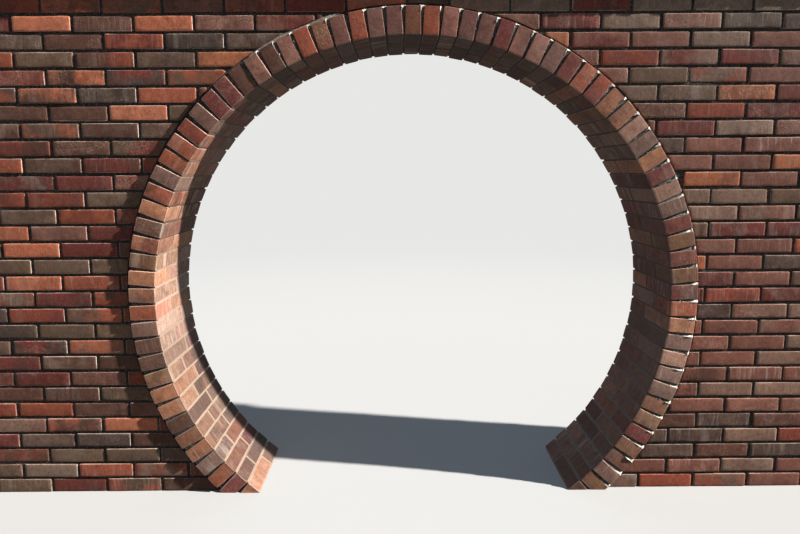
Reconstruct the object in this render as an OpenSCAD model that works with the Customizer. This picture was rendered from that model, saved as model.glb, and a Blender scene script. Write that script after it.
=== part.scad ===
// Moon gate: a round opening in a free-standing garden wall of clinker brick.
// The wall is one and a half bricks thick. A single ring of header bricks turns
// round the opening and runs through the whole wall, proud of both faces, and
// the ring is cut off flat where it meets the ground. A course of bricks on
// edge finishes the top.
// Millimetres. X runs along the wall, Y through it and Z up, with the origin on
// the ground under the middle of the opening.

/* [Brick] */
// Length of a brick
brick_length = 250; // [200:5:300]
// Width of a brick, which shows as the depth of the ring on the face
brick_width = 120; // [90:5:150]
// Height of a brick laid flat
brick_height = 65; // [50:1:90]
// Mortar joint between bricks in the wall
joint = 10; // [6:1:16]
// How far the mortar lies behind the faces of the bricks
joint_recess = 6; // [2:1:12]

/* [Opening] */
// Radius of the round opening
opening_radius = 1165; // [950:5:1300]
// Width of the opening where the ground cuts it off
threshold_width = 1450; // [1000:10:1700]
// Thinnest mortar between two bricks of the ring, at the opening
ring_joint = 9; // [6:0.5:16]
// How far the ring stands proud of each face of the wall
ring_projection = 20; // [8:1:45]
// Mortar between the ring and the wall round it
ring_bed = 10; // [6:1:20]
// How far the mortar lies behind the bricks inside the opening
soffit_recess = 2; // [1:0.5:6]

/* [Wall] */
// Length of wall that stands beside the ring on each side
wall_beside_ring = 1075; // [500:10:2000]
// Whole courses that pass over the top of the ring
courses_over_ring = 1; // [1:1:6]

/* [Coping] */
// How far the coping stands proud of each face of the wall
coping_projection = 20; // [8:1:60]
// Mortar bed under the coping
coping_bed = 10; // [6:1:20]

/* [Hidden] */
brick_red = "#8a4a3a";
ring_red = "#a2543c";
coping_red = "#7d4335";
mortar_grey = "#4a4744";
$fn = 180;

// Thicknesses through the wall
wall_thickness = brick_length + joint + brick_width;
ring_depth = wall_thickness + 2 * ring_projection;
coping_depth = wall_thickness + 2 * coping_projection;

// The ring, whose bricks all stand on radii
centre_height = sqrt(pow(opening_radius, 2) - pow(threshold_width / 2, 2));
ring_outer = opening_radius + brick_width;
ring_seat = ring_outer + ring_bed;
ring_count = floor(360 / (2 * asin((brick_height + ring_joint) / 2 / opening_radius)));
ring_step = 360 / ring_count;

// Courses of the wall, with the top of the ring inside the highest of them
course = brick_height + joint;
course_count = floor((centre_height + ring_outer) / course) + courses_over_ring;
wall_height = course_count * course;
wall_half = ring_outer + wall_beside_ring;

// Each side of the wall is built in lifts of whole courses
lift_count = 5;
function lift_level(i) = round(i * course_count / lift_count) * course;

// The ring is set in groups, counted from the crown down to each foot. Its last
// brick is the one that still shows more than a thin slice above the ground.
ring_reach = 90 + asin(centre_height / opening_radius);
thin_slice = 0.2;
ring_half_count = ceil(ring_reach / ring_step - 0.5 - thin_slice);
seat_reach = 90 + asin(centre_height / ring_seat);
group_count = 5;
crown_half = floor(ring_half_count / (2 * group_count + 1));
side_bricks = ring_half_count - crown_half;
function group_first(i) = crown_half + 1 + round((i - 1) * side_bricks / group_count);
function group_last(i) = group_first(i + 1) - 1;

// The middle of the wall over the crown, short enough to stay above the ring
crown_half_width = opening_radius / 3;
crown_level = lift_level(lift_count - 1);

// Bricks on edge along the top
coping_level = wall_height + coping_bed;
coping_count = round((2 * wall_half + joint) / course);
coping_step = (2 * wall_half - brick_height) / (coping_count - 1);
coping_joint = coping_step - brick_height;
coping_groups = 4;
function coping_first(i) = round((i - 1) * coping_count / coping_groups);
function coping_last(i) = coping_first(i + 1) - 1;

function numbered(name, count) = [for (i = [1:count]) str(name, i)];
LEFT_LIFTS = numbered("wall_left_lift_", lift_count);
RIGHT_LIFTS = numbered("wall_right_lift_", lift_count);
LEFT_RING = numbered("ring_bricks_left_", group_count);
RIGHT_RING = numbered("ring_bricks_right_", group_count);
LEFT_MORTAR = numbered("ring_mortar_left_", group_count);
RIGHT_MORTAR = numbered("ring_mortar_right_", group_count);
COPING = numbered("coping_bricks_", coping_groups);
COPING_MORTAR = numbered("coping_mortar_", coping_groups);

// Turns an outline in the plane of the wall, drawn about the middle of the
// opening, into a solid as deep as asked and centred on the wall
module through_wall(depth) {
    translate([0, 0, centre_height])
    rotate([90, 0, 0])
    linear_extrude(depth, center = true)
    children();
}

// One lift of masonry on the right side, from the end of the wall to the ring
module wall_lift(i, inner_end) {
    low = lift_level(i - 1);
    high = lift_level(i);
    difference() {
        translate([inner_end, -wall_thickness / 2, low])
        cube([wall_half - inner_end, wall_thickness, high - low]);
        through_wall(2 * wall_thickness)
        circle(ring_seat);
    }
}

// The highest lift leaves room for the middle of the wall over the crown
module side_of_wall(i) {
    color(brick_red)
    wall_lift(i, i == lift_count ? crown_half_width : 0);
}

module wall_over_crown() {
    color(brick_red)
    difference() {
        translate([-crown_half_width, -wall_thickness / 2, crown_level])
        cube([2 * crown_half_width, wall_thickness, wall_height - crown_level]);
        through_wall(2 * wall_thickness)
        circle(ring_seat);
    }
}

// Outline of ring brick k, counted clockwise from the crown
module ring_brick_outline(k) {
    rotate(-k * ring_step)
    translate([-brick_height / 2, opening_radius])
    square([brick_height, brick_width]);
}

// Every other ring brick has its long piece at the front
function long_in_front(k) = k % 2 == 0;

// Where the cross joint of ring brick k starts, from the front of the ring
function cross_joint(k) = long_in_front(k) ? brick_length : ring_depth - brick_length - joint;

// Room above the ground, which cuts off the feet of the ring
module above_ground() {
    translate([-2 * wall_half, -wall_thickness, 0])
    cube([4 * wall_half, 2 * wall_thickness, 2 * wall_height]);
}

module cut_at_ground(last) {
    if ((last + 1) * ring_step > seat_reach) {
        intersection() {
            children();
            above_ground();
        }
    } else {
        children();
    }
}

// Ring bricks first to last. Each is a long piece and a short piece, end to end
// through the wall, and their order changes from one brick to the next.
module ring_bricks(first, last) {
    color(ring_red)
    cut_at_ground(last)
    for (k = [first:last]) {
        front_length = cross_joint(k);
        back_length = ring_depth - front_length - joint;
        translate([0, -(ring_depth - front_length) / 2, 0])
        through_wall(front_length)
        ring_brick_outline(k);
        translate([0, (ring_depth - back_length) / 2, 0])
        through_wall(back_length)
        ring_brick_outline(k);
    }
}

// Sector of the ring's mortar inside a radius, from the middle of the joint
// before brick first to the middle of the joint after brick last, less the
// bricks themselves. At the foot it goes one step on, to below the ground.
module mortar_outline(first, last, outer) {
    reach = 2 * ring_seat;
    steps_on = last == ring_half_count ? 1 : 0;
    low = 90 - (last + steps_on + 1 / 2) * ring_step;
    high = 90 - (first - 1 / 2) * ring_step;
    difference() {
        intersection() {
            circle(outer);
            polygon([
                [0, 0],
                reach * [cos(low), sin(low)],
                reach * [cos((low + high) / 2), sin((low + high) / 2)],
                reach * [cos(high), sin(high)]
            ]);
        }
        circle(opening_radius + soffit_recess);
        for (k = [first:last])
            ring_brick_outline(k);
    }
}

// Outline of the mortar between the two pieces of ring brick k, let into the
// wedges on both sides of it and into the bed behind it
module cross_joint_outline(k) {
    width = brick_height + ring_joint;
    rotate(-k * ring_step)
    translate([-width / 2, opening_radius + soffit_recess])
    square([width, brick_width - soffit_recess + ring_bed / 2]);
}

// Mortar of ring bricks first to last: wedges between the bricks, the bed that
// carries them on the wall and the cross joints inside the ring
module ring_mortar(first, last) {
    color(mortar_grey)
    cut_at_ground(last) {
        union() {
            through_wall(ring_depth - 2 * joint_recess)
            mortar_outline(first, last, ring_outer - joint_recess);
            through_wall(wall_thickness - 2 * joint_recess)
            mortar_outline(first, last, ring_seat);
            for (k = [first:last])
                translate([0, cross_joint(k) + joint / 2 - ring_depth / 2, 0])
                through_wall(joint)
                cross_joint_outline(k);
        }
    }
}

// Left side of coping brick k, and where its front piece ends, counted from the
// front of the coping
function coping_x(k) = -wall_half + k * coping_step;
function coping_front(k) = long_in_front(k) ? brick_length : coping_depth - brick_length - joint;

// Bricks on edge along the top, in two pieces end to end as in the ring
module coping_bricks(first, last) {
    color(coping_red)
    for (k = [first:last]) {
        translate([coping_x(k), -coping_depth / 2, coping_level])
        cube([brick_height, coping_front(k), brick_width]);
        translate([coping_x(k), -coping_depth / 2 + coping_front(k) + joint, coping_level])
        cube([brick_height, coping_depth - coping_front(k) - joint, brick_width]);
    }
}

// Mortar under and between the bricks on edge, with the joint between the two
// pieces of each brick standing on the wall
module coping_mortar(first, last) {
    low_x = first == 0 ? -wall_half + joint_recess : coping_x(first);
    high_x = last == coping_count - 1 ? wall_half - joint_recess : coping_x(last + 1);
    color(mortar_grey)
    union() {
        translate([low_x, -wall_thickness / 2 + joint_recess, wall_height])
        cube([high_x - low_x, wall_thickness - 2 * joint_recess, coping_bed]);
        for (k = [first:last]) {
            translate([coping_x(k), -coping_depth / 2 + coping_front(k), wall_height])
            cube([brick_height, joint, coping_bed + brick_width - joint_recess]);
            if (k < coping_count - 1)
                translate([coping_x(k) + brick_height, -coping_depth / 2 + joint_recess, coping_level])
                cube([coping_joint, coping_depth - 2 * joint_recess, brick_width - joint_recess]);
        }
    }
}

// Group i of the ring on the right side
module bricks_of_group(i) {
    ring_bricks(group_first(i), group_last(i));
}

module mortar_of_group(i) {
    ring_mortar(group_first(i), group_last(i));
}

wall_over_crown();
ring_bricks(-crown_half, crown_half);  // ring_bricks_crown
ring_mortar(-crown_half, crown_half);  // ring_mortar_crown
for (i = [1:lift_count]) {
    mirror([1, 0, 0]) side_of_wall(i);
    side_of_wall(i);
}
for (i = [1:group_count]) {
    mirror([1, 0, 0]) bricks_of_group(i);
    bricks_of_group(i);
    mirror([1, 0, 0]) mortar_of_group(i);
    mortar_of_group(i);
}
for (i = [1:coping_groups]) {
    coping_bricks(coping_first(i), coping_last(i));
    coping_mortar(coping_first(i), coping_last(i));
}
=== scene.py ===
"""Looks of the moon gate: its bricks, joints and splinters of mortar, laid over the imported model.

Metres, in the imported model's frame: X along the wall, Y through it and Z up, with
the ground at z = 0 and the middle of the opening at x = 0.
"""
import functools
import math

import bmesh
import bpy
import numpy as np
from mathutils import Matrix, Vector

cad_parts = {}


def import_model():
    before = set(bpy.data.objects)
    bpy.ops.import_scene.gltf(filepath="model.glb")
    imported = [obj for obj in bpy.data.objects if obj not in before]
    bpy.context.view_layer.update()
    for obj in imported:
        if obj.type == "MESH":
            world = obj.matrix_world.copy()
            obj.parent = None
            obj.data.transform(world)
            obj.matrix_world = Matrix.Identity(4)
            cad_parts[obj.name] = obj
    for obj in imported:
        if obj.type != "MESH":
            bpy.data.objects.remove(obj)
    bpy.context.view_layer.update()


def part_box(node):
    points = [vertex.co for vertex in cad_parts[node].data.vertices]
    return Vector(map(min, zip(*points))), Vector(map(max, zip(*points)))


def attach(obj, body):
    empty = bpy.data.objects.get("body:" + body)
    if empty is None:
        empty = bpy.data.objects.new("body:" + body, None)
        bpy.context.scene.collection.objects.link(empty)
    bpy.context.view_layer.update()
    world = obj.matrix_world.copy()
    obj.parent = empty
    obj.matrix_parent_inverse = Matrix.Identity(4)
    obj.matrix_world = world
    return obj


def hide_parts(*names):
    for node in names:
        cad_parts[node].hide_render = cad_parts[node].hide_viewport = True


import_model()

# Sizes of the bricks and joints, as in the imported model
BRICK_LENGTH = 0.250
BRICK_WIDTH = 0.120
BRICK_HEIGHT = 0.065
JOINT = 0.010
RECESS = 0.006
COURSE = BRICK_HEIGHT + JOINT
COURSES_IN_LIFT = 6
LIFTS = 5
OPENING_RADIUS = 1.165
THRESHOLD_WIDTH = 1.450
CENTRE_HEIGHT = math.sqrt(OPENING_RADIUS ** 2 - (THRESHOLD_WIDTH / 2) ** 2)
RING_OUTER = OPENING_RADIUS + BRICK_WIDTH
RING_SEAT = RING_OUTER + JOINT
RING_DIVISIONS = 98
RING_STEP = 2 * math.pi / RING_DIVISIONS
# First and last brick of each group of the ring, counted from the crown down
RING_GROUPS = [(-3, 3), (4, 10), (11, 17), (18, 24), (25, 31), (32, 38)]

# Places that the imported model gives
WALL_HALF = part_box("wall_right_lift_1")[1].x
WALL_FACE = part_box("wall_right_lift_1")[1].y
WALL_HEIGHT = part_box("wall_over_crown")[1].z
CROWN_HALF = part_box("wall_over_crown")[1].x
RING_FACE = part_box("ring_bricks_crown")[1].y
COPING_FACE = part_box("coping_bricks_1")[1].y
COPING_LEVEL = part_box("coping_bricks_1")[0].z
COPING_COUNT = 63
COPING_STEP = (2 * WALL_HALF - BRICK_HEIGHT) / (COPING_COUNT - 1)
COPING_GROUPS = 4


# Colours
def linear(code):
    """A colour written as RRGGBB, in the linear values that Blender uses."""
    parts = [int(code[i:i + 2], 16) / 255 for i in (0, 2, 4)]
    return tuple(c / 12.92 if c <= 0.04045 else ((c + 0.055) / 1.055) ** 2.4 for c in parts)


# Fired colours of the bricks: shares at the left and right end, main and second colour
WALL_TONES = [
    (0.09, 0.012, "A15D44", "AC694F"),
    (0.11, 0.02, "92503B", "7E4534"),
    (0.12, 0.06, "7D4232", "6B3E35"),
    (0.17, 0.11, "68352E", "5E3933"),
    (0.15, 0.05, "573C32", "5C4035"),
    (0.16, 0.06, "5F4A3E", "675141"),
    (0.09, 0.05, "4D3E37", "594A40"),
    (0.06, 0.40, "765145", "6E4A3F"),
    (0.03, 0.19, "755D50", "796355"),
    (0.02, 0.04, "9A5F42", "82513D"),
]
RING_TONES = [
    (0.15, 0.16, "9A6A50", "AA775A"),
    (0.16, 0.05, "8E513D", "945D45"),
    (0.13, 0.16, "744F3F", "795A43"),
    (0.24, 0.17, "6E3F39", "72473C"),
    (0.13, 0.30, "71584D", "7A5D51"),
    (0.14, 0.06, "5B4337", "62493E"),
    (0.05, 0.10, "8F6C5B", "9D7969"),
]
COPING_TONES = [
    (0.20, 0.20, "8A5039", "7A4634"),
    (0.30, 0.30, "64433A", "5A3C35"),
    (0.30, 0.30, "6B5146", "77584A"),
    (0.20, 0.20, "703F36", "7E4B3B"),
]

# How the wall's bricks on the right differ: height, then red, green and blue
WALL_TINTS = [
    (0.8, 1.07, 0.94, 0.90),
    (1.5, 1.04, 0.97, 0.95),
    (1.9, 1.00, 1.00, 1.00),
    (2.1, 1.00, 1.00, 1.00),
    (2.2, 1.05, 1.13, 1.14),
]
# How the ring's outer faces differ along it: place, then red, green and blue
RING_TINTS = [
    (-24, 1.12, 1.06, 1.03),
    (-18, 1.04, 0.98, 0.98),
    (-13, 0.92, 0.81, 0.82),
    (4, 0.86, 0.64, 0.68),
    (10, 1.00, 0.97, 1.00),
    (22, 1.00, 1.00, 1.00),
    (26, 1.24, 1.26, 1.29),
    (31, 1.24, 1.26, 1.29),
    (36, 1.04, 0.97, 1.02),
]
# How much the ring's outer arrises are made pale, from rubbing and as a painted highlight where the
# light catches their crests: place and share
RING_WEAR_AND_HIGHLIGHT = [(-12, 1.0), (-7, 0.10), (8, 0.10), (14, 0.55)]
# The film on the inner faces of the ring, with painted shade and sheen: place, colour and how much it
# covers
# Painted shade: darker at the crown and the upper left, where the inner face lies in shadow; painted
# sheen: palest about 9 o'clock on the left, where the light grazes it
SOFFIT_FILMS_SHADE_AND_SHEEN = [
    (-40, "40312B", 0.72),
    (-30, "493A33", 0.70),
    (-28, "5C4A40", 0.65),
    (-26, "8C7666", 0.48),
    (-24, "9C8472", 0.45),
    (-22, "8A705F", 0.45),
    (-20.5, "5E4333", 0.50),
    (-18, "523A2D", 0.60),
    (-15, "7A6455", 0.45),
    (-12, "5A473C", 0.50),
    (-8, "3C2F28", 0.65),
    (2, "2A201B", 0.75),
    (12, "3D2E27", 0.65),
    (22, "4F3D36", 0.60),
    (40, "56443F", 0.60),
]
CREAM = np.array(linear("877464"))


def unit(value):
    """A value held between 0 and 1."""
    return np.clip(value, 0, 1)


def tint(table, place):
    """What colours are multiplied by at a place, from a table of places and channels."""
    places, *channels = zip(*table)
    return np.array([np.interp(place, places, channel) for channel in channels])


def soffit_film_shade_and_sheen(k):
    """The film on the inner face at ring brick k, with its painted shade and sheen, and how much it
    covers.
    """
    places, colours, covers = zip(*SOFFIT_FILMS_SHADE_AND_SHEEN)
    film_shade_and_sheen = [np.interp(k, places, channel) for channel in zip(*map(linear, colours))]
    return np.stack(film_shade_and_sheen, -1), np.interp(k, places, covers)


def leftness(k):
    """From 0 near the crown and on the right to 1 on the left side, for ring brick k."""
    return unit((-k - 6) / 6)


def low_left(k):
    """From 0 to 1, how far ring brick k lies in the lowest part of the left side."""
    return unit((-k - 24) / 5)


# The length over which the left end's bricks give way to the right end's, and what changes
# there: a value on the left, and what the right adds to it
MIXED_OVER = 2.4
TWO_TONED = (0.40, -0.27)
STREAKED = (0.05, 0.30)
BLOOMED = (-0.05, 0.15)
# Arrises pale from rubbing and as painted highlight, less so on the right
LESS_RUBBED_AND_HIGHLIT = (1, -0.25)
# How they spread from brick to brick
TONE_SPREAD = 0.09
STREAK_SPREAD = 0.40
BLOOM_SPREAD = 0.30
# How many have a crust, and the least and most of crust and of pale arrises, from rubbing and as painted
# highlight
CRUSTED = 0.15
CRUST = (0.4, 1.0)
RUBBED_AND_HIGHLIT = (0.5, 1.0)


def along_wall(trend, to_right):
    """A value part of the way from the wall's left end to its right end."""
    return trend[0] + trend[1] * to_right


def fired(rng, tones, x):
    """Colours and traits of one brick at a place along the wall."""
    to_right = unit(0.5 + x / MIXED_OVER)
    shares = np.array([t[0] * (1 - to_right) + t[1] * to_right for t in tones])
    first, other = rng.choice(len(tones), 2, p=shares / shares.sum())
    two_toned = rng.random() < along_wall(TWO_TONED, to_right)
    codes = (tones[first][2], tones[other][2] if two_toned else tones[first][3])
    tone, tone2 = (np.array(linear(code)) * rng.normal(1.0, TONE_SPREAD) for code in codes)
    streaks = max(0.0, rng.normal(along_wall(STREAKED, to_right), STREAK_SPREAD))
    bloom = max(0.0, rng.normal(along_wall(BLOOMED, to_right), BLOOM_SPREAD))
    crust = rng.uniform(*CRUST) if rng.random() < CRUSTED else 0.0
    # How pale the arrises are, from rubbing and as painted highlight where they catch the light
    rubbed_and_highlit = rng.uniform(*RUBBED_AND_HIGHLIT) * along_wall(LESS_RUBBED_AND_HIGHLIT, to_right)
    trait = (rng.uniform(0, 50), streaks, bloom)
    return {"tone": tone, "tone2": tone2, "trait": trait, "marks": (crust, rubbed_and_highlit, 0)}


# Shapes
SHARP_DEGREES = 20
# What lies closer than this touches
TOUCH = 1e-6
# The plane of the ground: a place on it, and the way down
GROUND = ((0, 0, 0), (0, 0, -1))
# What points carry: place from the brick's middle, half of its size, trait, marks and colours.
# The trait is seed, streaks and bloom, or mortar's paleness and dust; marks are crust, and rubbing that
# also paints highlights on the arrises.
TRAITS = ("own", "half", "trait", "marks", "tone", "tone2")


def columns(*parts):
    """Values side by side, one row for each point."""
    return np.stack(np.broadcast_arrays(*parts), 1)


def put(name, data):
    """A new object in the scene."""
    piece = bpy.data.objects.new(name, data)
    bpy.context.scene.collection.objects.link(piece)
    return piece


class Batch:
    """Closed shapes in the frame that end up in one mesh, with what their colour needs."""

    def __init__(self):
        self.points, self.faces, self.count = [], [], 0
        self.traits = {name: [] for name in TRAITS}

    def add(self, points, faces, **traits):
        """Adds a shape, with traits given once or for each point."""
        self.points.append(points)
        self.faces.extend([[v + self.count for v in face] for face in faces])
        self.count += len(points)
        for name, values in self.traits.items():
            given = np.asarray(traits.get(name, (0.0, 0.0, 0.0)), float)
            values.append(np.broadcast_to(given, (len(points), 3)))

    def mirror(self):
        """Turns the shapes over to the wall's other side."""
        self.points = [points * (-1, 1, 1) for points in self.points]
        self.faces = [face[::-1] for face in self.faces]

    def build(self, name, material, slot, *nodes):
        """Makes the piece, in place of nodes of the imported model."""
        mesh = bpy.data.meshes.new(name)
        mesh.from_pydata(np.concatenate(self.points).tolist(), [], self.faces)
        for trait, values in self.traits.items():
            layer = mesh.attributes.new(trait, "FLOAT_VECTOR", "POINT")
            layer.data.foreach_set("vector", np.concatenate(values).astype(np.float32).ravel())
        mesh.shade_smooth()
        mesh.set_sharp_from_angle(angle=math.radians(SHARP_DEGREES))
        mesh.materials.append(material)
        piece = put(name, mesh)
        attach(piece, "root")
        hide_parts(*nodes)


@functools.cache
def skin(counts):
    """The outer points of a block's lattice, and the quads between them, facing out."""
    outside = np.ones(counts, bool)
    outside[1:-1, 1:-1, 1:-1] = False
    number = np.full(counts, -1)
    number[outside] = np.arange(outside.sum())
    quads = []
    for axis in range(3):
        for end in (0, -1):
            grid = np.take(number, end, axis)
            corners = [grid[:-1, :-1], grid[1:, :-1], grid[1:, 1:], grid[:-1, 1:]]
            side = np.stack(corners, -1).reshape(-1, 4)
            if (end == -1) == (axis == 1):
                side = side[:, ::-1]
            quads.append(side)
    return np.argwhere(outside), np.concatenate(quads).tolist()


def block(*lines):
    """Points and quads of a block whose lattice lines are given for each axis."""
    places, quads = skin(tuple(len(line) for line in lines))
    return np.stack([np.asarray(line)[places[:, i]] for i, line in enumerate(lines)], 1), quads


def waves(rng, lengths):
    """A smooth random function of points, about from -1 to 1, with waves of these lengths."""
    ways = rng.normal(size=(len(lengths), 3))
    ways *= (2 * math.pi / np.array(lengths) / np.linalg.norm(ways, axis=1))[:, None]
    starts = rng.uniform(0, 2 * math.pi, len(lengths))
    return lambda points: np.sin(points @ ways.T + starts).mean(1) * 1.4


def taken_from(shape):
    """Points and faces of a bmesh, which ends here."""
    shape.verts.index_update()
    points = np.array([v.co[:] for v in shape.verts])
    faces = [[v.index for v in face.verts] for face in shape.faces]
    shape.free()
    return points, faces


def cut(points, faces, place, way):
    """A closed shape without what lies beyond a plane."""
    way = np.asarray(way, float) / np.linalg.norm(way)
    shape = bmesh.new()
    made = [shape.verts.new(point) for point in points]
    for face in faces:
        shape.faces.new([made[v] for v in face])
    everything = [*shape.verts, *shape.edges, *shape.faces]
    bmesh.ops.bisect_plane(
        shape, geom=everything, dist=TOUCH, plane_co=place, plane_no=way, clear_outer=True)
    bmesh.ops.holes_fill(shape, edges=[edge for edge in shape.edges if edge.is_boundary])
    return taken_from(shape)


def ring_half_width(height, radius):
    """Half the width, at a height, of a circle round the middle of the opening."""
    return np.sqrt(np.clip(radius ** 2 - (height - CENTRE_HEIGHT) ** 2, 0, None))


def squeeze_along(points, outer_x, inner_x, radius):
    """Pulls the inner end of what lies beside a circle back to it."""
    side = math.copysign(1, outer_x)
    reach = np.maximum(abs(inner_x), ring_half_width(points[:, 2], radius))
    share = (side * reach - outer_x) / (inner_x - outer_x)
    points[:, 0] = outer_x + (points[:, 0] - outer_x) * share


def squeeze_up(points, far_z, near_z, radius):
    """Pulls the near side of what lies above or below a circle back to it."""
    up = math.copysign(1, far_z - near_z)
    edge = CENTRE_HEIGHT + up * np.sqrt(np.clip(radius ** 2 - points[:, 0] ** 2, 0, None))
    near = np.maximum(near_z, edge) if up > 0 else np.minimum(near_z, edge)
    points[:, 2] = far_z + (points[:, 2] - far_z) * (near - far_z) / (near_z - far_z)


def ring_ways(angle):
    """The ways outward and on along the ring, at an angle clockwise from the crown."""
    way_out = np.array([math.sin(angle), 0, math.cos(angle)])
    way_round = np.array([math.cos(angle), 0, -math.sin(angle)])
    return way_out, way_round


def round_middle(turn, y, radius):
    """Points at angles clockwise from the crown, places through the wall and radii."""
    return columns(radius * np.sin(turn), y, CENTRE_HEIGHT + radius * np.cos(turn))


# Bricks
# Least and most that arrises run back, and the band beside them where a face sinks
ARRIS = (0.0022, 0.0040)
EDGE_BAND = 0.007
# How far it sinks there, how uneven it is, and how long those waves are
PILLOW = 0.0004
UNEVEN = 0.0006
UNEVEN_LENGTHS = (0.22, 0.13, 0.07)
# Mean and spread of what is chipped off an arris, which counts where above 0
CHIPS = (-0.5, 0.8)
# Least and most that a knocked-off corner takes along each axis
LEAST_MISSING = (0.006, 0.003, 0.006)
MOST_MISSING = (0.024, 0.0052, 0.018)
CELL = 0.027

# How blunt arrises are along each axis, and how often a corner is knocked off
WALL_BLUNT = (1.5, 0.8, 0.8)
WALL_CHIPPED = 0.22
RING_BLUNT = (0.65, 0.8, 0.65)
RING_CHIPPED = 0.1
COPING_BLUNT = (0.9, 0.8, 0.9)
COPING_CHIPPED = 0.2
# How far bricks lie and turn from their true places: spreads, and the most of any
WALL_SHIFT = (0.0010, 0.0014, 0.0009)
WALL_ROLL = 0.004
WALL_TURN = 0.007
RING_SHIFT = (0.0008, 0.0014, 0.0010)
RING_TURN = 0.008
COPING_SHIFT = (0.0010, 0.0015, 0.0012)
MOST_ASIDE = 0.0028
MOST_TURN = 0.012

# How much each side of a brick of the wall lies back from the joint's edge
SHRUNK = 0.0012
# How loosely they are cut to the ring's bed, and the least that is laid
SEAT_PLAY = 0.004
SMALLEST_PIECE = 0.012
# How much wider a ring brick is at its inner end, and how much more so low on the left
INNER_SPREAD = 0.045
MORE_SPREAD = 0.6
# How far the film, with its painted shade and sheen, on the ring's inner faces reaches outward
SOFFIT_BAND = 0.008
# How much further out the coping's bricks lie than the solids, for a longer shadow
COPING_PROUD = 0.0045


def off_place(rng, spread, most=MOST_ASIDE):
    """A random small shift or turn that stays within a limit."""
    return np.clip(rng.normal(0, spread), -most, most)


def brick(rng, half, cells, blunt):
    """One brick about its own middle: worn arrises, faces a little swollen and uneven."""
    half = np.array(half)
    back = rng.uniform(*ARRIS) * np.array(blunt)
    lines = []
    for end, edge, count in zip(half, back, cells):
        flat = end - edge
        inner = np.linspace(-flat + EDGE_BAND, flat - EDGE_BAND, count)
        if count > 2:
            inner[1:-1] += rng.uniform(-0.25, 0.25, count - 2) * (inner[1] - inner[0])
        lines.append([-end, -flat, *inner, flat, end])
    points, faces = block(*lines)
    core = np.clip(points, back - half, half - back)
    away = (points - core) / back
    away /= np.linalg.norm(away, axis=1)[:, None]
    on_arris = np.abs(away).max(1) < 0.99
    chips = np.where(on_arris, unit(rng.normal(*CHIPS, len(points))), 0)
    uneven = waves(rng, UNEVEN_LENGTHS)(points) * UNEVEN
    rim = np.sort(np.abs(core) - half + back + EDGE_BAND, axis=1)[:, ::-1] / EDGE_BAND
    swell = unit(rim[:, 1]) ** 2 + unit(rim[:, 2]) ** 2
    points = core + away * (back * (1 - 0.8 * chips)[:, None] + (uneven - swell * PILLOW)[:, None])
    return points, faces


def chipped(rng, points, faces, half, front):
    """The brick with one corner knocked off, mostly of the side that is in view."""
    seen = front if rng.random() < 0.8 else -front
    corner = np.array([rng.choice([-1, 1]), seen, rng.choice([-1, 1])])
    missing = rng.uniform(LEAST_MISSING, MOST_MISSING)
    return cut(points, faces, corner * (half - (missing[0], 0, 0)), corner / missing)


def cells_of(half):
    """How many lines lie across each side, within the bands along its edges."""
    return [max(2, round(2 * h / CELL)) for h in half]


def wall_runs(index, rear):
    """(from, to) along the wall and depth of each brick of a course, on one side of the wall."""
    bricks = []
    for side in (-1, 1):
        header_first = (index + rear + (side > 0)) % 2 == 0
        place = WALL_HALF
        while place > 0:
            length, depth = BRICK_LENGTH, BRICK_WIDTH
            if place == WALL_HALF and header_first:
                length, depth = BRICK_WIDTH, BRICK_LENGTH
            ends = sorted((side * place, side * (place - length)))
            if ends[0] * ends[1] > 0:
                bricks.append((*ends, depth))
            place -= length + JOINT
    bricks.sort()
    if (index + 1) * COURSE > CENTRE_HEIGHT + RING_SEAT:
        gaps = [(a[1], b[0]) for a, b in zip(bricks, bricks[1:]) if b[0] - a[1] > 3 * JOINT]
        bricks += [(a + JOINT, b - JOINT, BRICK_WIDTH) for a, b in gaps]
    return bricks


def meeting_ring(inner, outer, low, high, seat):
    """How a brick of the wall meets the ring, and where its inner end then lies.

    It is whole, cut at its end or its side, or gone where too little is left.
    """
    widths = ring_half_width(np.linspace(low, high, 9), seat)
    if inner * outer < 0:
        return "side", inner
    if widths.max() <= abs(inner):
        return "whole", inner
    if abs(outer) - widths.min() < SMALLEST_PIECE:
        return "gone", inner
    if abs(outer) - widths.max() >= SMALLEST_PIECE:
        return "end", inner
    thin_at = high - SMALLEST_PIECE if low > CENTRE_HEIGHT else low + SMALLEST_PIECE
    reach = float(ring_half_width(thin_at, seat))
    if abs(outer) - reach < 2 * SMALLEST_PIECE:
        return "gone", inner
    return "side", math.copysign(max(abs(inner), reach), outer)


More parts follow.
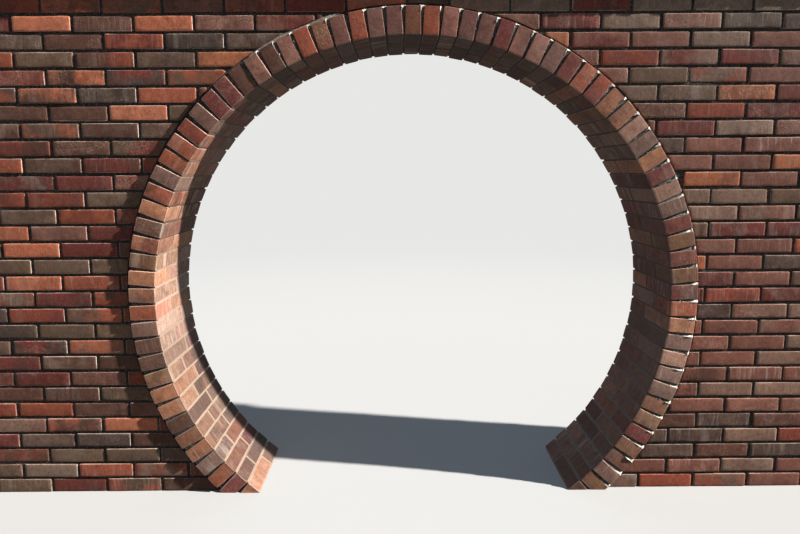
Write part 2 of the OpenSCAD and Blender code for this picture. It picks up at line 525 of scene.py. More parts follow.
def wall_brick(rng, batch, run, index, rear):
    """Lays one brick of a course, cut to the ring where it meets it."""
    start, end, depth = run
    low = index * COURSE
    high = low + BRICK_HEIGHT
    face = 1 if rear else -1
    middle = np.array([(start + end) / 2, face * (WALL_FACE - depth / 2), (low + high) / 2])
    half = np.array([(end - start) / 2, depth / 2, BRICK_HEIGHT / 2])
    seat = RING_SEAT + rng.uniform(0, SEAT_PLAY)
    looks = fired(rng, WALL_TONES, middle[0])
    # The right side's tints come in over the first metre from the middle
    on_right = unit(middle[0])
    for tone in ("tone", "tone2"):
        looks[tone] = looks[tone] * (1 - on_right + on_right * tint(WALL_TINTS, high))

    inner, outer = (start, end) if start + end > 0 else (end, start)
    how, inner_end = meeting_ring(inner, outer, low, high, seat)
    if how == "gone":
        return
    shape_half = np.array([abs(outer - inner_end) / 2 - SHRUNK, half[1], half[2] - SHRUNK])
    cells = (cells_of(shape_half)[0], 0, 2)
    if how != "whole":
        cells = (max(cells[0], 6), 0, 5)
    points, faces = brick(rng, shape_half, cells, WALL_BLUNT)
    if how == "whole":
        if rng.random() < WALL_CHIPPED:
            points, faces = chipped(rng, points, faces, shape_half, face)
        roll = Matrix.Rotation(off_place(rng, WALL_ROLL, MOST_TURN), 3, "Y")
        turn = roll @ Matrix.Rotation(off_place(rng, WALL_TURN, MOST_TURN), 3, "Z")
        points = points @ np.array(turn).T + off_place(rng, WALL_SHIFT)
    placed = points + ((inner_end + outer) / 2, middle[1], middle[2])
    if how != "whole":
        placed[:, 0] = np.clip(placed[:, 0], *sorted((inner_end, outer)))
    if how == "end":
        squeeze_along(placed, outer, inner, seat)
    if how == "side":
        far, near = (high, low) if low > CENTRE_HEIGHT else (low, high)
        squeeze_up(placed, far, near, seat)
    batch.add(placed, faces, own=placed - middle, half=half, **looks)


def depths(k, face):
    """(from, to) through the wall of the bricks at place k, a long and a short one in turn."""
    front = BRICK_LENGTH if k % 2 == 0 else 2 * face - BRICK_LENGTH - JOINT
    return [(-face, -face + front), (-face + front + JOINT, face)]


def ring_looks(rng, k, own, placed, x):
    """Colours and traits of ring brick k, with the film, painted shade and sheen on its inner face."""
    looks = fired(rng, RING_TONES, x)
    inside = own[:, 0] < -BRICK_WIDTH / 2 + SOFFIT_BAND
    film_shade_and_sheen, share = soffit_film_shade_and_sheen(k)
    film_shade_and_sheen, share = film_shade_and_sheen * rng.uniform(0.70, 1.25), share * rng.uniform(0.75, 1.2)
    # Painted shade: on the left the film is darker and less red towards the back, where the inner face
    # lies in shadow
    painted_shade_behind = unit((placed[:, 1] - 0.02) / 0.08) * leftness(k)
    film_shade_and_sheen = film_shade_and_sheen * (1 - painted_shade_behind[:, None] * (0.30, 0.16, 0.04))
    # The outer faces have few streaks near the crown, and more further down
    seed, streaks, bloom = looks["trait"]
    more = 0.8 if abs(k) > 14 and rng.random() < 0.3 else 0.0
    outer = streaks * min(1.0, max(0.2, (abs(k) - 8) / 8)) + more
    streaks = np.where(inside, streaks + 1.1 * leftness(k) * (1 - 0.8 * low_left(k)), outer)
    looks["trait"] = columns(seed, streaks, bloom)
    crust, rubbed_and_highlit = looks["marks"][:2]
    # Pale arrises, from rubbing and as painted highlight: a little on the inner face, and on the outer
    # faces by place along the ring
    rubbed_and_highlit = np.where(inside, 0.35, np.interp(k, *zip(*RING_WEAR_AND_HIGHLIGHT))) * rubbed_and_highlit
    looks["marks"] = columns(crust, rubbed_and_highlit, 0.0)
    for tone in ("tone", "tone2"):
        shown = looks[tone] * tint(RING_TINTS, k)
        with_film_shade_and_sheen = looks[tone] * (1 - share) + film_shade_and_sheen * share
        looks[tone] = np.where(inside[:, None], with_film_shade_and_sheen, shown)
    return looks


def ring_brick(rng, batch, k):
    """Both pieces of ring brick k, counted clockwise from the crown."""
    way_out, way_round = ring_ways(k * RING_STEP)
    axes = np.array([way_out, [0, 1, 0], -way_round])
    for start, end in depths(k, RING_FACE):
        half = np.array([BRICK_WIDTH / 2, (end - start) / 2, BRICK_HEIGHT / 2])
        own, faces = brick(rng, half, cells_of(half), RING_BLUNT)
        if rng.random() < RING_CHIPPED:
            own, faces = chipped(rng, own, faces, half, 1 if start + end > 0 else -1)
        points = own.copy()
        spread = INNER_SPREAD * (1 + MORE_SPREAD * low_left(k))
        points[:, 2] *= 1 + spread * (0.5 - points[:, 0] / BRICK_WIDTH)
        points = points + off_place(rng, RING_SHIFT)
        middle = way_out * (OPENING_RADIUS + BRICK_WIDTH / 2) + (0, (start + end) / 2, CENTRE_HEIGHT)
        turn = np.array(Matrix.Rotation(off_place(rng, RING_TURN, 1.5 * MOST_TURN), 3, "Y"))
        placed = points @ turn.T @ axes + middle
        if placed[:, 2].min() < 0:
            placed, faces = cut(placed, faces, *GROUND)
            own = (placed - middle) @ axes.T
        batch.add(placed, faces, own=own, half=half, **ring_looks(rng, k, own, placed, middle[0]))


def coping_brick(rng, batch, k):
    """Both bricks on edge at place k of the coping, counted from the left end."""
    x = -WALL_HALF + k * COPING_STEP + BRICK_HEIGHT / 2
    for low, high in depths(k, COPING_FACE):
        half = np.array([BRICK_HEIGHT / 2, (high - low) / 2, BRICK_WIDTH / 2])
        points, faces = brick(rng, half, cells_of(half), COPING_BLUNT)
        if rng.random() < COPING_CHIPPED:
            points, faces = chipped(rng, points, faces, half, -1 if low < 0 else 1)
        placed = points + (x, (low + high) / 2, COPING_LEVEL + half[2]) + off_place(rng, COPING_SHIFT)
        placed[:, 1] += math.copysign(COPING_PROUD, low + high)
        batch.add(placed, faces, own=points, half=half, **fired(rng, COPING_TONES, 0))


# Mortar
MORTAR_CELL = 0.022
GRIT_SEED = 5
grit = waves(np.random.default_rng(GRIT_SEED), (0.31, 0.17, 0.09, 0.055, 0.04, 0.031))
# How rough mortar is on the faces, and on the coping's top
FACE_GRIT = 0.0009
TOP_GRIT = 0.0010

# The ring's mortar: how far it stands out at one side of a joint, how far it lies back from
# the inner face, and how hollow that is from a place through the wall on
WEDGE_LEAN = 0.0045
SOFFIT_FLUSH = 0.0012
BACK_HOLLOW = 0.0075
HOLLOW_FROM = 0.176
WEDGE_INNER = OPENING_RADIUS + SOFFIT_FLUSH
WEDGE_OUTER = RING_OUTER - RECESS
WEDGE_DEPTH = RING_FACE - RECESS
# Angles from a joint's middle: just within the bricks, and a little further into them
HALF_JOINT = (RING_STEP - BRICK_HEIGHT / WEDGE_INNER) / 2
NEAR = HALF_JOINT + 0.0006 / WEDGE_INNER
BESIDE = HALF_JOINT + 0.003 / WEDGE_INNER
# Places through the wall of the cross joints, at even and odd places of the ring
CROSS_JOINTS = np.array([BRICK_LENGTH, 2 * RING_FACE - BRICK_LENGTH - JOINT]) - RING_FACE + JOINT / 2
CROSS_LINES = np.array([-0.008, -0.0056, 0.0056, 0.008])
CROSS_HALF = 0.006
UNDER_BRICKS = 0.008


def steps(low, high, cell=MORTAR_CELL):
    """Lattice lines from one place to another, no further apart than a cell."""
    return np.linspace(low, high, max(2, math.ceil((high - low) / cell) + 1))


def rough_faces(points, depth):
    """Roughens the front and back of mortar that fills the wall to a depth."""
    on_face = np.abs(np.abs(points[:, 1]) - depth) < TOUCH
    points[on_face, 1] += np.sign(points[on_face, 1]) * grit(points[on_face]) * FACE_GRIT


def wall_mortar(batch, name):
    """The filling of one lift, up to the joints between its bricks."""
    depth = WALL_FACE - RECESS
    radius = RING_OUTER - JOINT
    through = [-depth, -depth / 2, 0, depth / 2, depth]
    if name == "over_crown":
        low = (LIFTS - 1) * COURSES_IN_LIFT * COURSE
        points, faces = block(steps(-CROWN_HALF, CROWN_HALF), through, steps(low, WALL_HEIGHT))
        squeeze_up(points, WALL_HEIGHT, low, radius)
    else:
        side, number = name.split("_")
        low = (int(number) - 1) * COURSES_IN_LIFT * COURSE
        high = low + COURSES_IN_LIFT * COURSE
        inner = CROWN_HALF if int(number) == LIFTS else 0.5
        points, faces = block(steps(inner, WALL_HALF - RECESS), through, steps(low, high))
        squeeze_along(points, WALL_HALF - RECESS, inner, radius)
        if side == "left":
            points[:, 0] *= -1
            faces = [face[::-1] for face in faces]
    rough_faces(points, depth)
    batch.add(points, faces, own=points)


def coping_mortar(batch, first, last):
    """The bed under the coping's bricks first to last, and the filling between them."""
    low = -WALL_HALF + (RECESS if first == 0 else first * COPING_STEP)
    high = WALL_HALF - RECESS if last == COPING_COUNT - 1 else -WALL_HALF + (last + 1) * COPING_STEP
    top = COPING_LEVEL + BRICK_WIDTH - RECESS
    bed = (WALL_FACE, 0.08, [WALL_HEIGHT, COPING_LEVEL + 0.005])
    for face, cell, heights in (bed, (COPING_FACE, MORTAR_CELL, steps(COPING_LEVEL, top))):
        depth = face - RECESS
        points, faces = block(steps(low, high), steps(-depth, depth, cell), heights)
        rough_faces(points, depth)
        on_top = points[:, 2] > top - TOUCH
        points[on_top, 2] += grit(points[on_top]) * TOP_GRIT
        batch.add(points, faces, own=points)


def soffit_joint(k):
    """Paleness, dustiness and the dust's colour in the joints of the inner face at place k; the dust
    takes the film's colour, painted shade and sheen included.
    """
    low_right = unit((k - 24) / 8)
    cream = np.asarray(low_left(k))[..., None]
    tone = soffit_film_shade_and_sheen(k)[0] * (1 - cream) + CREAM * cream
    return 0.10 + 0.08 * low_right, 0.92 - 0.5 * low_right, tone


def sticks_to(k):
    """Which neighbour a joint's mortar clings to: -1 the one before, 1 the one after."""
    return np.clip((k - 15.5) / 2, -1, 1)


def wedge_lattice(first, last):
    """The block from ring bricks first to last: angle, place through the wall and radius."""
    low, high = (first - 0.5) * RING_STEP, (last + 0.5) * RING_STEP
    if last == RING_GROUPS[-1][1]:
        high += RING_STEP
    radii = [WEDGE_INNER, WEDGE_INNER + 0.012, *steps(WEDGE_INNER + 0.024, WEDGE_OUTER, 0.012)]
    offsets = np.array([-NEAR, -NEAR / 3, NEAR / 3, NEAR, BESIDE, RING_STEP / 2, RING_STEP - BESIDE])
    count = round((high - low) / RING_STEP)
    angles = np.concatenate([low + i * RING_STEP + offsets for i in range(count)])
    angles = [low, *angles[angles > low + 1e-4], high - NEAR, high]
    crosses = (CROSS_JOINTS[:, None] + CROSS_LINES).ravel()
    through = sorted([*steps(-WEDGE_DEPTH, WEDGE_DEPTH, 0.05), HOLLOW_FROM, *crosses])
    return block(angles, through, radii)


def ring_mortar(batch, first, last, side):
    """The filling between ring bricks first to last, made for the right side to be mirrored."""
    lattice, faces = wedge_lattice(first, last)
    turn, y, radius = lattice[:, 0], lattice[:, 1], lattice[:, 2].copy()

    # The inner face: nearly flush in the joints, deeper under the bricks, hollow at the back
    inside = radius < WEDGE_INNER + TOUCH
    k = np.round(turn / RING_STEP).astype(int)
    in_joint = np.abs(turn / RING_STEP - k) * RING_STEP > RING_STEP / 2 - NEAR * 1.001
    in_cross = np.abs(y - CROSS_JOINTS[k % 2]) < CROSS_HALF
    radius[inside & ~in_joint & ~in_cross] += UNDER_BRICKS
    radius += np.where(inside, 0.0005 * grit(lattice * (1, 1, 0)), 0)
    radius += inside * BACK_HOLLOW * unit((y - HOLLOW_FROM) / (WEDGE_DEPTH - HOLLOW_FROM))
    points = round_middle(turn, y, radius)

    # The front and back: nearly flush along one side of each joint, and deep at the other
    off_joint = turn / RING_STEP % 1 - 0.5
    place = side * turn / RING_STEP
    clings = np.clip(side * off_joint * RING_STEP / BESIDE, -1, 1) * sticks_to(place)
    stuck = 1 - leftness(place)
    on_face = np.abs(np.abs(y) - WEDGE_DEPTH) < TOUCH
    ridge = np.clip(2 * clings - 0.7, -0.6, 1.0) * (0.6 + 0.5 * grit(points * 3.1)) * stuck
    ridge[np.abs(off_joint) * RING_STEP > NEAR * 1.001] = -1.5
    ragged = (grit(points) + grit(points * 2.7)) * 0.0009
    points[on_face, 1] += np.sign(y[on_face]) * (ridge * WEDGE_LEAN + ragged)[on_face]

    # Colours: dusty on the inner face, in the film's colour with its painted shade and sheen, dark in
    # the joints outside, with pale crumbs
    outward = unit((radius - WEDGE_INNER) / (WEDGE_OUTER - WEDGE_INNER))
    crumbs = unit(clings) * outward ** 2 * unit(0.4 + grit(points * 3.7))
    crumbs = crumbs * np.clip((place - 4) / 12, 0.3, 1)
    in_soffit = radius < WEDGE_INNER + BACK_HOLLOW + 0.001
    pale, dust, tone = soffit_joint(place)
    pale = np.where(in_soffit, pale, 0.03 + (0.05 * outward + 0.60 * crumbs) * stuck)
    trait = columns(pale, np.where(in_soffit, dust, 0), 0.0)
    if points[:, 2].min() < 0:
        whole = points
        points, faces = cut(points, faces, *GROUND)
        nearest = np.array([np.abs(whole - point).sum(1).argmin() for point in points])
        trait, tone = trait[nearest], tone[nearest]
    batch.add(points, faces, own=points, trait=trait, tone=tone)


# Splinters and crumbs start at this joint of the ring
LAST_LEFT_FLAKE = -9
# Least and most length of a long splinter, and the joint from which they are longer
LONG_FLAKE = (0.016, 0.032)
LONGER_FROM = 14
# Before and from a joint on: least and most share of the joint that a long one fills, how often
# there is a short one, and a short one's least and most length and lap
FLATTER_FROM = 12
CROWN_FLAKES = ((0.2, 0.5), 0.95, (0.008, 0.0025), (0.014, 0.0055))
RIGHT_FLAKES = ((0.4, 0.75), 0.75, (0.008, 0.0005), (0.017, 0.0020))
CRUMBS_FROM = 10
CRUMB = (0.0010, 0.0028)
LOWEST = 0.001


def ball():
    """A ball of radius 1, in few faces."""
    shape = bmesh.new()
    bmesh.ops.create_icosphere(shape, subdivisions=1, radius=1)
    return taken_from(shape)


BALL = ball()


def lay(place, outward, through, round_ring):
    """Points at a place of the ring, given outward, through the wall and clockwise."""
    way_out, way_round = ring_ways(place * RING_STEP)
    points = outward[:, None] * way_out + round_ring[:, None] * way_round
    return points + through[:, None] * (0, 1, 0) + (0, 0, CENTRE_HEIGHT)


def half_joint(radius):
    """Half the width of a joint of the ring, at a radius."""
    return (radius * RING_STEP - BRICK_HEIGHT) / 2


def flake(rng, batch, place, face, length, filled, lap):
    """A splinter of mortar at the outer end of a joint of the ring, widest at the ring's rim.

    filled is its share of the joint there, and lap how far it laps over.
    """
    clings = float(sticks_to(place))
    shape, faces = block([0, 0.12, 0.30, 0.50, 0.70, 0.88, 1], [-1, -0.4, 0.4, 1], [0, 0.6, 1])
    u, v, w = shape.T
    bumps = waves(rng, (0.9, 0.6, 0.4))(shape)
    outward = RING_OUTER + 0.0010 - length * (1 - u) + 0.0015 * bumps * (u > 0.9)
    joint = half_joint(outward)
    share = filled * (0.12 + 0.88 * u ** rng.uniform(0.8, 1.4))
    width = (joint * share + lap * u ** 3 + 0.0004) * np.where(w == 1, 0.80, 1)
    round_ring = clings * joint * (1 - share) + v * width + 0.0012 * bumps * u
    crest = rng.uniform(0.15, 0.45)
    proud = rng.uniform(0.0003, 0.0014) * np.exp(-((u - crest) / 0.25) ** 2)
    sunk = 0.0020 * unit(1 - u / crest) + 0.0030 * unit(u - crest) / (1 - crest)
    free = unit(-v * np.sign(clings)) * 0.0020
    surface = RING_FACE + proud - sunk - free + 0.0013 * bumps
    deep = RING_FACE - RECESS - 0.004
    through = deep + (surface - deep) * w
    points = lay(place, outward, face * through, round_ring)
    if face < 0:
        faces = [quad[::-1] for quad in faces]
    if points[:, 2].min() > LOWEST:
        pale = rng.uniform(0.75, 1.05) * (0.45 + 0.55 * u ** 0.6)
        batch.add(points, faces, own=points, trait=columns(pale, 0.0, 0.0))


def crumb(rng, batch, place, face):
    """A grain of mortar that stuck in a joint of the ring."""
    points, faces = BALL
    size = rng.uniform(*CRUMB, 3) * (1.4, 1, 1)
    outward = OPENING_RADIUS + BRICK_WIDTH * rng.uniform(0.30, 0.90)
    aside = half_joint(outward) * (0.75 * float(sticks_to(place)) + rng.normal(0, 0.25))
    deep = rng.uniform(0.0010, 0.0040)
    grain = points * size * rng.uniform(0.8, 1.2, (len(points), 1))
    through = face * (RING_FACE - deep) + grain[:, 2]
    placed = lay(place, outward + grain[:, 0], through, aside + grain[:, 1])
    if placed[:, 2].min() > LOWEST:
        batch.add(placed, faces, own=placed, trait=(rng.uniform(0.3, 0.9), 0, 0))


def ring_flakes(rng, batch, first, last, side):
    """White splinters at the outer ends of the ring's joints, and grains inside them."""
    for k in range(first, last + 1):
        place = side * (k + 0.5)
        if place < LAST_LEFT_FLAKE:
            continue
        small = 0.6 if place < -4 else 1.0
        reach = 1.0 if place < LONGER_FROM else 1.5
        fills, often, least, most = CROWN_FLAKES if place < FLATTER_FROM else RIGHT_FLAKES
        for face in (-1, 1):
            if rng.random() < 0.9:
                length, filled = rng.uniform(*zip(LONG_FLAKE, fills)) * (small * reach, small)
                flake(rng, batch, place, face, length, filled, 0.0005)
            if rng.random() < often:
                length, lap = rng.uniform(least, most) * small
                flake(rng, batch, place, face, length, small * rng.uniform(0.75, 1.0), lap)
            for _ in range(rng.integers(0, 2 if place < CRUMBS_FROM else 6)):
                crumb(rng, batch, place, face)


def ledge_smear(rng, batch, first, last):
    """Mortar smeared over the ring's bed at the front, above bricks first to last."""
    angles = np.arange(first, last + 0.01, 0.2) * RING_STEP
    edges = [RING_OUTER - 0.001, RING_OUTER + 0.003, RING_SEAT - 0.002, RING_SEAT + 0.003]
    points, faces = block(angles, [-WALL_FACE, -WALL_FACE + 0.009], edges)
    turn, y, radius = points.T
    place = turn / RING_STEP
    fade = unit((place - first) / 5) * unit((last - place) / 0.8)
    rough = waves(rng, (0.10, 0.06, 0.03))(points * (RING_OUTER, 1, 1))
    radius = np.where(radius > RING_SEAT + 0.002, radius + 0.003 * rough - 0.003 * (1 - fade), radius)
    y = np.where(y == -WALL_FACE, y - 0.0035 * fade * (1 + 0.5 * rough) + 0.004 * (1 - fade), y)
    points = round_middle(turn, y, radius)
    batch.add(points, faces, own=points, trait=(0.29, 0, 0))


# Materials
def grey(value):
    """A grey in linear values."""
    return (value, value, value, 1.0)


class Nodes:
    """The node tree of a material or a world, made step by step."""

    def __init__(self, owner):
        owner.use_nodes = True
        self.owner = owner
        self.tree = owner.node_tree
        self.tree.nodes.clear()

    def add(self, kind, *given, out=0, **settings):
        """A new node's output, with inputs given in order or by name after in_."""
        node = self.tree.nodes.new("ShaderNode" + kind)
        inputs = list(enumerate(given))
        for key, value in settings.items():
            if key.startswith("in_"):
                inputs.append((key[3:].replace("_", " "), value))
            else:
                setattr(node, key, value)
        for key, value in inputs:
            if isinstance(value, bpy.types.NodeSocket):
                self.tree.links.new(value, node.inputs[key])
            elif value is not None:
                node.inputs[key].default_value = value
        return node.outputs[out]

    def end(self, kind, shader):
        """Links the shader to the output, and returns the tree's owner."""
        output = self.tree.nodes.new("ShaderNodeOutput" + kind)
        self.tree.links.new(shader, output.inputs["Surface"])
        return self.owner

    def times(self, a, b, clamp=False):
        return self.math("MULTIPLY", a, b, clamp=clamp)

    def attribute(self, name):
        return self.add("Attribute", attribute_name=name, out=1)

    def apart(self, vector):
        """The three parts of a vector."""
        return self.add("SeparateXYZ", vector).node.outputs

    def math(self, operation, a, b=None, c=None, clamp=False):
        return self.add("Math", a, b, c, operation=operation, use_clamp=clamp)

    def noise(self, where, scale, detail=2.0, roughness=0.5):
        return self.add("TexNoise", where, None, scale, detail, roughness)

    def between(self, value, low, high, to_low=0.0, to_high=1.0):
        """From to_low to to_high, as the value goes from low to high."""
        return self.add("MapRange", value, low, high, to_low, to_high, interpolation_type="SMOOTHSTEP")

    def mix(self, share, a, b, blend="MIX"):
        """Two colours mixed, which are the inputs 6 and 7 of the node."""
        settings = {"data_type": "RGBA", "blend_type": blend, "clamp_factor": True}
        return self.add("Mix", share, *[None] * 5, a, b, out=2, **settings)

    def multiply(self, colour, factor):
        return self.mix(1.0, colour, factor, "MULTIPLY")

    def grained(self, colour, noise, window, amount):
        """A colour darker or lighter by an amount where a noise leaves its middle."""
        factor = self.between(noise, 0.5 - window, 0.5 + window, 1 - amount, 1 + amount)
        return self.multiply(colour, self.add("CombineColor", factor, factor, factor))

    def surface(self, colour, roughness, height, lift, specular):
        """The finished material, with a height that bumps it."""
        bump = self.add("Bump", in_Strength=1.0, in_Distance=lift, in_Height=height)
        looks = {"in_Base_Color": colour, "in_Roughness": roughness, "in_Specular_IOR_Level": specular}
        return self.end("Material", self.add("BsdfPrincipled", in_Normal=bump, **looks))


def streaked(n, colour, lines, streaks):
    """The colour with pale streaks, in narrow lines and wider bands."""
    narrow = n.between(n.noise(lines, 82.0, 2.0, 0.6), 0.52, 0.72)
    band = n.between(n.noise(lines, 19.0, 1.0, 0.4), 0.60, 0.72)
    share = n.times(n.math("MAXIMUM", narrow, band), n.times(streaks, 0.60), clamp=True)
    pale = n.mix(0.55, n.multiply(colour, grey(1.9)), (0.31, 0.255, 0.22, 1))
    return n.mix(share, colour, pale)


def crusted(n, colour, where, along, up, seed, crust):
    """The colour with slanted pale crumbs, and where they are."""
    across = n.times(n.math("SUBTRACT", up, along), 0.45)
    slanted = n.add("CombineXYZ", n.math("ADD", along, up), across, seed)
    crumbs = n.between(n.noise(slanted, 190.0, 2.0, 0.7), 0.50, 0.60)
    patches = n.between(n.noise(where, 14.0, 2.0, 0.5), 0.40, 0.56)
    crumbs = n.times(n.times(crumbs, patches), n.times(crust, 0.75), clamp=True)
    pale = n.mix(0.25, n.multiply(colour, grey(1.75)), (0.46, 0.33, 0.25, 1))
    return n.mix(crumbs, colour, pale), crumbs


def pale_arrises_rubbed_and_highlit(n, colour, where, gaps, rub_and_highlight):
    """The colour made pale where the second smallest gap to the brick's sides is small: rubbed wear on
    the arrises, and a painted highlight there.
    """
    less, more = n.math("MINIMUM", gaps[0], gaps[1]), n.math("MAXIMUM", gaps[0], gaps[1])
    edge = n.math("MAXIMUM", less, n.math("MINIMUM", more, gaps[2]))
    rag = n.times(n.noise(where, 130.0, 3.0, 0.6), 0.006)
    worn_and_highlit = n.between(n.math("ADD", edge, rag), 0.0042, 0.0066, 1.0, 0.0)
    pale = n.mix(0.7, n.multiply(colour, grey(1.5)), (0.52, 0.43, 0.36, 1))
    return n.mix(n.times(worn_and_highlit, n.math("MULTIPLY_ADD", rub_and_highlight, 0.8, 0.1)), colour, pale)


def brick_material(name):
    """Clinker of two tones: mottled, streaked, crusted, veiled, pale at the arrises from rubbing and as
    painted highlight, and pitted, with painted shade in the pits.
    """
    n = Nodes(bpy.data.materials.new(name))
    own, half = n.attribute("own"), n.attribute("half")
    seed, streaks, bloom = n.apart(n.attribute("trait"))
    crust, rub_and_highlight = n.apart(n.attribute("marks"))[:2]
    moved = n.add("CombineXYZ", n.times(seed, 3.1), n.times(seed, 1.7), seed)
    where = n.add("VectorMath", own, moved, operation="ADD")
    sides = n.apart(own)
    size = n.add("VectorMath", own, operation="ABSOLUTE")
    gaps = n.apart(n.add("VectorMath", half, size, operation="SUBTRACT"))

    patch = n.between(n.noise(where, 7.5, 3.0, 0.6), 0.38, 0.64)
    mottle = n.noise(where, 46.0, 5.0, 0.65)
    fleck = n.noise(where, 165.0, 3.0, 0.7)
    dark = n.between(n.noise(where, 16.0, 4.0, 0.6), 0.50, 0.74)
    colour = n.mix(patch, n.attribute("tone"), n.attribute("tone2"))
    colour = n.grained(colour, mottle, 0.22, 0.16)
    colour = n.grained(colour, fleck, 0.20, 0.20)
    colour = n.mix(n.times(dark, 0.50), colour, n.multiply(colour, (0.56, 0.50, 0.50, 1)))

    # Streaks run up the sides, and on a top they run through the wall
    on_side = n.math("GREATER_THAN", gaps[2], n.math("MINIMUM", gaps[0], gaps[1]))
    along = n.math("MULTIPLY_ADD", sides[1], on_side, sides[0])
    lines = n.add("CombineXYZ", along, n.times(sides[2], 0.10), seed)
    drag = n.noise(lines, 330.0, 2.0, 0.6)
    colour = streaked(n, colour, lines, streaks)
    colour = n.grained(colour, drag, 0.20, 0.10)
    colour, crumbs = crusted(n, colour, where, along, sides[2], seed, crust)

    veil = n.between(n.noise(where, 17.0, 6.0, 0.7), 0.48, 0.70)
    veil = n.times(veil, n.times(bloom, 0.6), clamp=True)
    colour = n.mix(veil, colour, (0.27, 0.235, 0.21, 1))
    # Arrises pale from rubbing and as painted highlight
    colour = pale_arrises_rubbed_and_highlit(n, colour, where, gaps, rub_and_highlight)

    grain = n.noise(where, 420.0, 3.0, 0.7)
    # Pits: small hollows in the bump, painted nearly black as painted shade
    pits_with_painted_shade = n.between(n.noise(where, 190.0, 1.0, 0.5), 0.70, 0.78)
    colour = n.grained(colour, grain, 0.25, 0.14)
    colour = n.mix(n.times(pits_with_painted_shade, 0.6), colour, (0.03, 0.022, 0.02, 1))

    height = n.math("MULTIPLY_ADD", mottle, 0.9, n.times(grain, 0.35))
    for noise, share in ((drag, 0.25), (crumbs, 0.8), (fleck, 0.5), (pits_with_painted_shade, -0.8)):
        height = n.math("MULTIPLY_ADD", noise, share, height)
    roughness = n.between(mottle, 0.3, 0.7, 0.80, 0.92)
    return n.surface(colour, roughness, height, 0.0011, 0.15)


def mortar_material(name):
    """Sandy mortar, from dark to nearly white, under dust of a given colour; in the ring's inner face
    that colour carries the film's painted shade and sheen.
    """
    n = Nodes(bpy.data.materials.new(name))
    own = n.attribute("own")
    pale, dust = n.apart(n.attribute("trait"))[:2]
    cloud = n.between(n.noise(own, 7.0, 5.0, 0.6), 0.35, 0.65)
    sand = n.noise(own, 340.0, 3.0, 0.75)
    lump = n.noise(own, 140.0, 4.0, 0.7)
    dark = n.mix(cloud, (*linear("24201D"), 1), (*linear("35312D"), 1))
    light = n.mix(cloud, (*linear("DFD6C8"), 1), (*linear("EFE9DE"), 1))
    lightness = n.math("MULTIPLY_ADD", n.math("SUBTRACT", lump, 0.5), 0.7, pale, clamp=True)
    colour = n.mix(dust, n.mix(lightness, dark, light), n.attribute("tone"))
    colour = n.grained(colour, sand, 0.3, 0.28)
    height = n.math("MULTIPLY_ADD", sand, 0.6, lump)
    return n.surface(colour, 0.93, height, 0.0022, 0.2)


# Building
WALL_SEED = 11
RING_SEED = 23
COPING_SEED = 31
CLINKER = brick_material("clinker")
MORTAR = mortar_material("mortar")


def lift_name(index, x):
    """The lift that a brick of a course belongs to, as pieces are named."""
    lift = index // COURSES_IN_LIFT + 1
    if lift == LIFTS and abs(x) < CROWN_HALF:
        return "over_crown"
    return f"{'left' if x < 0 else 'right'}_{lift}"


def dress(kind, name, bricks, filling):
    """Makes the pieces of a group of the ring or the coping."""
    bricks.build(f"{kind}_{name}", CLINKER, f"{kind}_brick", f"{kind}_bricks_{name}")
    filling.build(f"{kind}_pointing_{name}", MORTAR, "mortar", f"{kind}_mortar_{name}")


def dress_wall():
    """The wall's bricks, course by course, and its mortar, lift by lift."""
    wall = {}
    for index in range(LIFTS * COURSES_IN_LIFT):
        for rear in (0, 1):
            rng = np.random.default_rng([WALL_SEED, index, rear])
            for run in wall_runs(index, rear):
                name = lift_name(index, (run[0] + run[1]) / 2)
                wall_brick(rng, wall.setdefault(name, Batch()), run, index, rear)
    for name, bricks in sorted(wall.items()):
        node = "wall_" + (name if name == "over_crown" else name.replace("_", "_lift_"))
        bricks.build("wall_bricks_" + name, CLINKER, "wall_masonry", node)
        filling = Batch()
        wall_mortar(filling, name)
        filling.build("wall_mortar_" + name, MORTAR, "mortar", node)


def dress_ring():
    """The ring's bricks and pointing, in groups down from the crown."""
    for group, (first, last) in enumerate(RING_GROUPS):
        for side in (-1, 1) if group else (1,):
            name = f"{'left' if side < 0 else 'right'}_{group}" if group else "crown"
            rng = np.random.default_rng([RING_SEED, group, side + 1])
            bricks, filling = Batch(), Batch()
            for k in range(first, last + 1):
                ring_brick(rng, bricks, side * k)
            ring_mortar(filling, first, last, side)
            if side < 0:
                filling.mirror()
            ring_flakes(rng, filling, first, last, side)
            if name == "left_1":
                ledge_smear(rng, filling, -9.0, -3.8)
            dress("ring", name, bricks, filling)


def dress_coping():
    """The coping's bricks on edge and their mortar, from left to right."""
    for group in range(COPING_GROUPS):
        first = round(group * COPING_COUNT / COPING_GROUPS)
        last = round((group + 1) * COPING_COUNT / COPING_GROUPS) - 1
        rng = np.random.default_rng([COPING_SEED, group])
        bricks, filling = Batch(), Batch()
        for k in range(first, last + 1):
            coping_brick(rng, bricks, k)
        coping_mortar(filling, first, last)
        dress("coping", group + 1, bricks, filling)


dress_wall()
dress_ring()
dress_coping()


# Stage
PALE = (0.80, 0.80, 0.79, 1.0)
FLOOR_SEEN = (0.36, 0.36, 0.355, 1.0)
FLOOR_TO_LIGHT = (0.14, 0.14, 0.137, 1.0)
# From where to where the floor fades into the backdrop
FADE = (2.5, 9.0)
FILL_COLOUR = (0.74, 0.89, 1.09, 1)
FILL_FRONT = 0.24
FILL_BEHIND = 1.20
# The camera's lens and shift, in pixels of a picture of this width
PICTURE_WIDTH = 800
LENS = 556.4
SHIFT = -24.6
CAMERA_PLACE = (-0.0733, -2.6666, 1.5049)


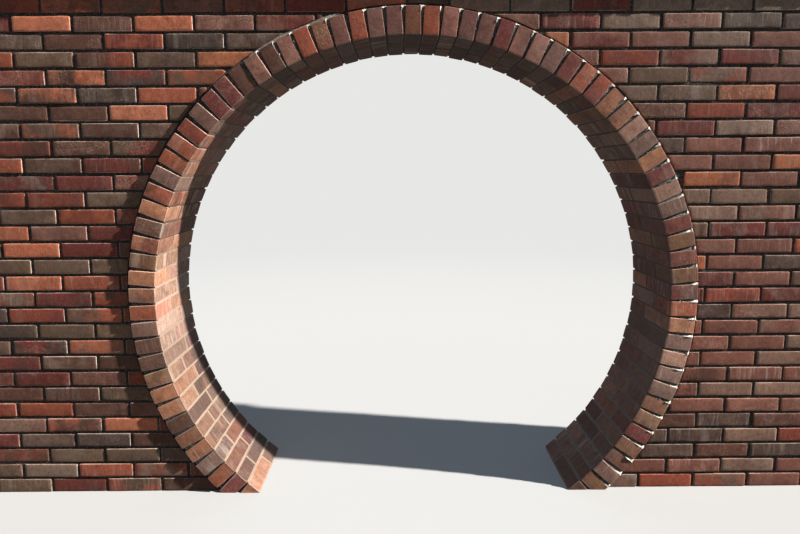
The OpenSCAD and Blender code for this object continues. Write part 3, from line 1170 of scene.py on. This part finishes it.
def floor():
    """A plain floor that fades into the backdrop."""
    mesh = bpy.data.meshes.new("floor")
    mesh.from_pydata([(-40, -40, 0), (40, -40, 0), (40, 40, 0), (-40, 40, 0)], [], [(0, 1, 2, 3)])
    n = Nodes(bpy.data.materials.new("floor"))
    from_middle = n.add("VectorMath", n.add("TexCoord", out=3), operation="LENGTH", out=1)
    rays = n.add("LightPath").node.outputs
    seen, glossy = rays["Is Camera Ray"], rays["Is Glossy Ray"]
    lit = n.add("BsdfDiffuse", in_Color=n.mix(seen, FLOOR_TO_LIGHT, FLOOR_SEEN))
    share = n.times(n.between(from_middle, *FADE), n.math("MAXIMUM", seen, glossy))
    shader = n.add("MixShader", share, lit, n.add("Emission", in_Color=PALE))
    mesh.materials.append(n.end("Material", shader))
    piece = put("floor", mesh)


def world():
    """A soft fill, more of it from behind the wall, and a pale backdrop."""
    n = Nodes(bpy.data.worlds.new("studio"))
    y = n.apart(n.add("TexCoord"))[1]
    fill = n.add("Background", FILL_COLOUR, n.add("MapRange", y, 0.4, 1.0, FILL_FRONT, FILL_BEHIND))
    rays = n.add("LightPath").node.outputs
    seen = n.math("MAXIMUM", rays["Is Camera Ray"], rays["Is Glossy Ray"])
    shader = n.add("MixShader", seen, fill, n.add("Background", PALE, 1.0))
    bpy.context.scene.world = n.end("World", shader)


def key_light():
    """A lamp that grazes the front from the right, as the sun did."""
    lamp = bpy.data.lights.new("key", "SUN")
    lamp.energy = 4.0 * math.pi
    lamp.angle = math.radians(1.0)
    lamp.color = (1.0, 0.965, 0.92)
    round_wall, height = math.radians(80.3), math.radians(33.5)
    level = Vector((math.sin(round_wall), -math.cos(round_wall), 0))
    towards = level * math.cos(height) + Vector((0, 0, math.sin(height)))
    put("key", lamp).rotation_euler = towards.to_track_quat("Z", "Y").to_euler()


def camera():
    """The photograph's view. It was cropped off centre, which the shift follows."""
    data = bpy.data.cameras.new("camera")
    data.sensor_width = 36.0
    data.lens = data.sensor_width * LENS / PICTURE_WIDTH
    data.shift_y = SHIFT / PICTURE_WIDTH
    down, aside, roll = (math.radians(angle) for angle in (7.385, 0.287, 0.321))
    ahead = Vector((math.sin(aside) * math.cos(down), math.cos(aside) * math.cos(down), -math.sin(down)))
    level = Vector((math.cos(aside), -math.sin(aside), 0))
    below = ahead.cross(level)
    right = level * math.cos(roll) + below * math.sin(roll)
    up = right.cross(ahead)
    turned = Matrix((right, up, -ahead)).transposed().to_4x4()
    view = put("camera", data)
    view.matrix_world = Matrix.Translation(CAMERA_PLACE) @ turned
    bpy.context.scene.camera = view


floor()
world()
key_light()
camera()
bpy.context.scene.view_settings.view_transform = "Standard"
